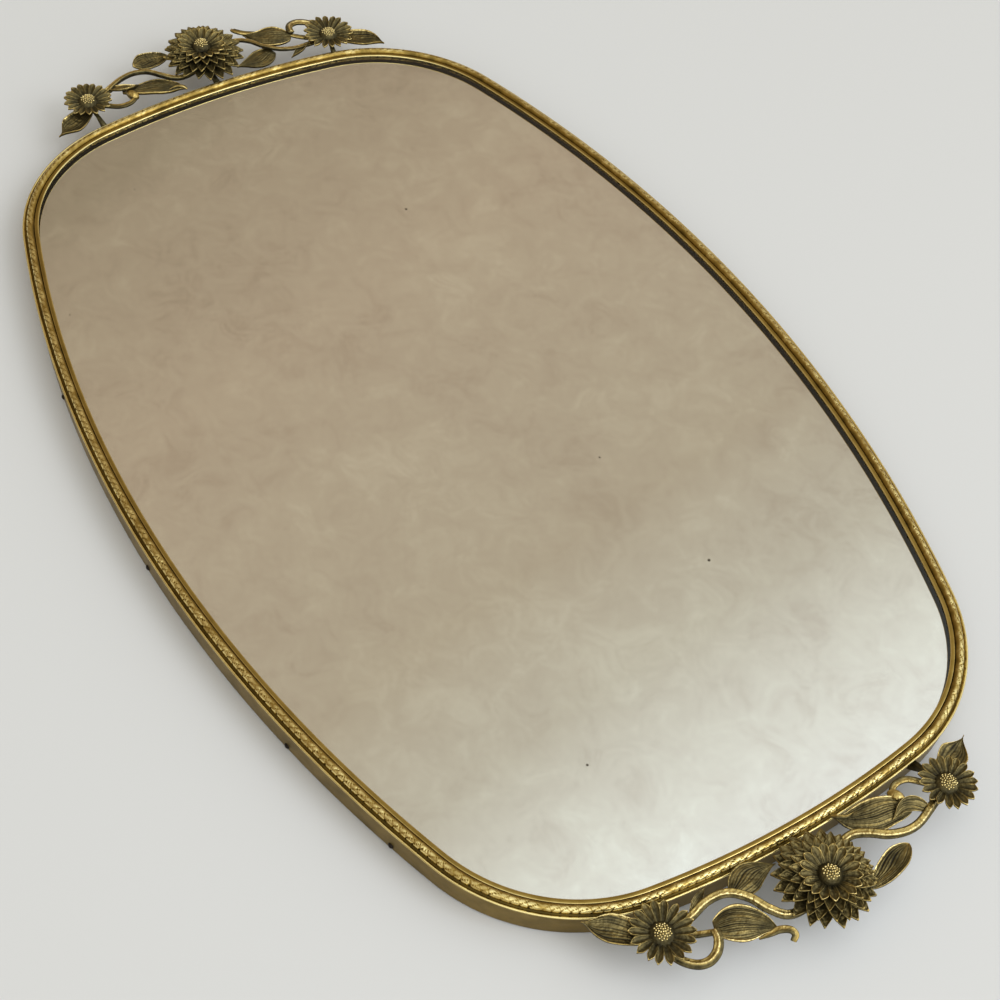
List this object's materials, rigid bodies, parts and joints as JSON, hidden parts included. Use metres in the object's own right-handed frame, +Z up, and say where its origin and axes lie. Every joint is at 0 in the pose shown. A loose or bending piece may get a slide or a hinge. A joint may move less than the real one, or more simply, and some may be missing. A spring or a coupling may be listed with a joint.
{
  "type": "mirrored vanity tray",
  "caption": "Oval mirrored vanity tray: gilt moulded rim with a chased bead round a glass mirror, and a cast handle of daisies, a dahlia and leaves at each end.",
  "frame": {"origin": "centre of the footprint, on the underside of the felt, which is the surface that the tray stands on", "axes": "+X along the tray from one flowered handle to the other, +Z up out of the mirror"},
  "size_m": [0.4514, 0.2502, 0.0207],
  "materials": {
    "gilt_rim": "gold-plated brass, bright on the crests, brown in the grooves",
    "antique_casting": "cast brass with an antiqued olive-brown patina, rubbed bright along edges",
    "glass": "polished float glass",
    "silvering": "silvered back of the glass with a grey backing paint",
    "cushion": "plain board",
    "board": "plywood",
    "felt": "felt",
    "tack": "blackened steel"
  },
  "bodies": {
    "root": {"rim_frame": "gilt_rim", "wall_tacks": "tack", "mirror_glass": "glass", "mirror_silvering": "silvering", "cushion_sheet": "cushion", "backing_board": "board", "felt_pad": "felt", "right_front_branch": "antique_casting", "right_rear_branch": "antique_casting", "right_front_daisy_petals": "antique_casting", "right_front_daisy_boss": "antique_casting", "right_rear_daisy_petals": "antique_casting", "right_rear_daisy_boss": "antique_casting", "right_dahlia_outer_petals": "antique_casting", "right_dahlia_middle_petals": "antique_casting", "right_dahlia_inner_petals": "antique_casting", "right_dahlia_crown_petals": "antique_casting", "right_dahlia_boss": "antique_casting", "left_front_branch": "antique_casting", "left_rear_branch": "antique_casting", "left_front_daisy_petals": "antique_casting", "left_front_daisy_boss": "antique_casting", "left_rear_daisy_petals": "antique_casting", "left_rear_daisy_boss": "antique_casting", "left_dahlia_outer_petals": "antique_casting", "left_dahlia_middle_petals": "antique_casting", "left_dahlia_inner_petals": "antique_casting", "left_dahlia_crown_petals": "antique_casting", "left_dahlia_boss": "antique_casting"}
  },
  "joints": []
}
